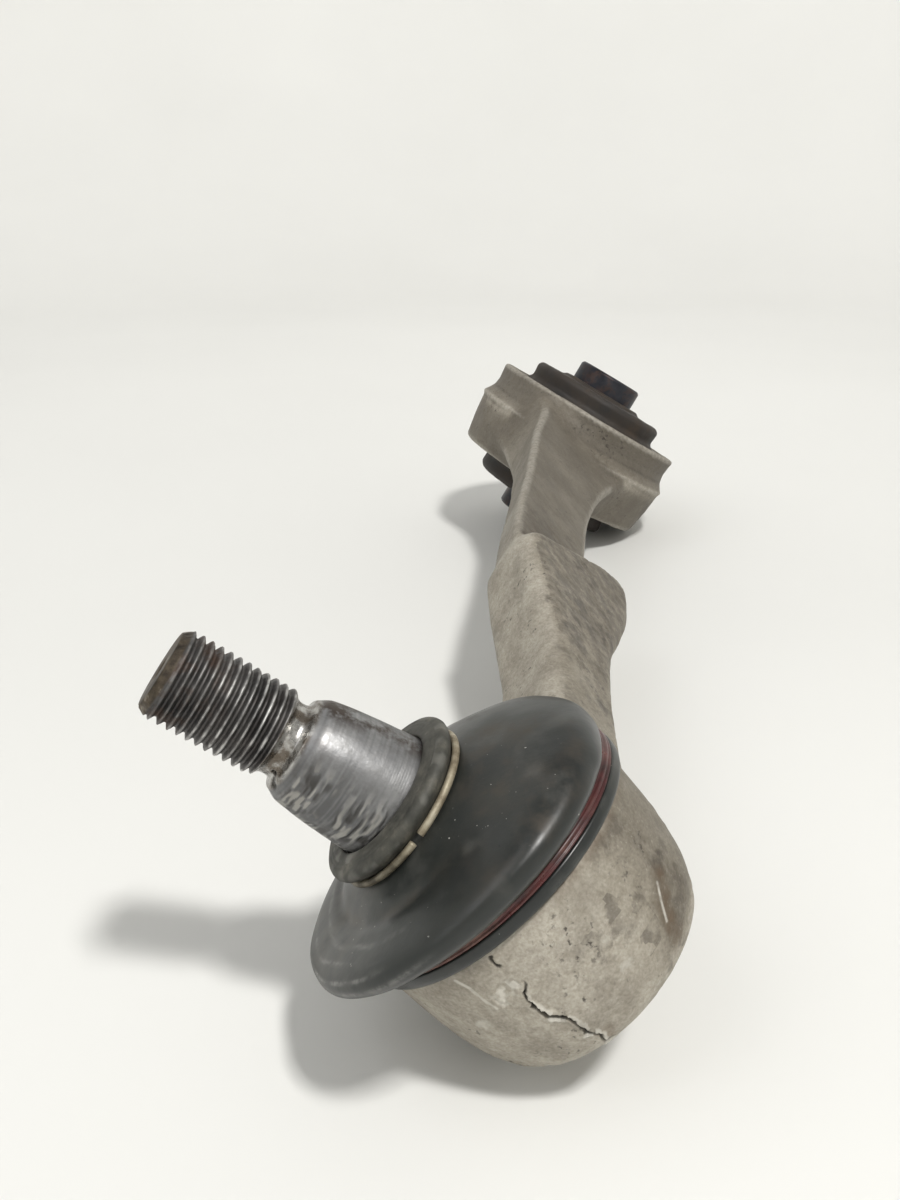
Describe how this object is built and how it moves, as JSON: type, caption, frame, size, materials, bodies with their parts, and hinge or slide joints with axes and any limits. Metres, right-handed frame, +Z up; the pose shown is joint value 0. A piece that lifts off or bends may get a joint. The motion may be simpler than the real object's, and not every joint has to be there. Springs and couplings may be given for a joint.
{
  "type": "suspension control arm",
  "caption": "Short forged alloy suspension arm with a threaded tapered ball stud under a rubber boot at one end and a wide rubber bush eye at the other.",
  "frame": {"origin": "centre of the footprint of the whole part, on the surface it lies on", "axes": "+Z up from the surface; the arm runs roughly along Y with the ball stud end at -Y; the stud points up to the left, towards -X"},
  "size_m": [0.1246, 0.3192, 0.0685],
  "materials": {
    "forged_alloy": "matt forged skin, stained and pitted",
    "liner_plastic": "matt",
    "ring_steel": "satin",
    "stud_steel": "turned, oily and lightly rusted",
    "boot_rubber": "satin black with dust",
    "wire_ring": "dull tan coating",
    "lower_ring": "glossy dark red",
    "sleeve_steel": "dark oxide",
    "bush_rubber": "matt black-brown"
  },
  "bodies": {
    "arm": {"arm_forging": "forged_alloy", "ball_liner": "liner_plastic", "closing_ring": "ring_steel", "dust_boot": "boot_rubber", "boot_lower_ring": "lower_ring", "bush_outer_sleeve": "sleeve_steel", "bush_rubber": "bush_rubber"},
    "stud_carrier": {"boot_upper_ring": "wire_ring"},
    "stud": {"ball_stud": "stud_steel"},
    "bush_core": {"bush_inner_sleeve": "sleeve_steel"}
  },
  "joints": [
    {"name": "stud_swing", "type": "hinge", "parent": "arm", "child": "stud_carrier", "pos_m": [-0.01131, -0.13387, 0.03], "axis": [0.3168, -0.8641, 0.3912], "range_deg": [-41, 11], "deforming": ["dust_boot"]},
    {"name": "stud_spin", "type": "hinge", "parent": "stud_carrier", "child": "stud", "pos_m": [-0.01131, -0.13387, 0.03], "axis": [-0.818, -0.0402, 0.5738], "continuous": true},
    {"name": "bush_torsion", "type": "hinge", "parent": "arm", "child": "bush_core", "pos_m": [0.02509, 0.12225, 0.03092], "axis": [0.5013, 0.0994, 0.8595], "range_deg": [-20, 20], "stiffness_Nm_per_rad": 30}
  ]
}
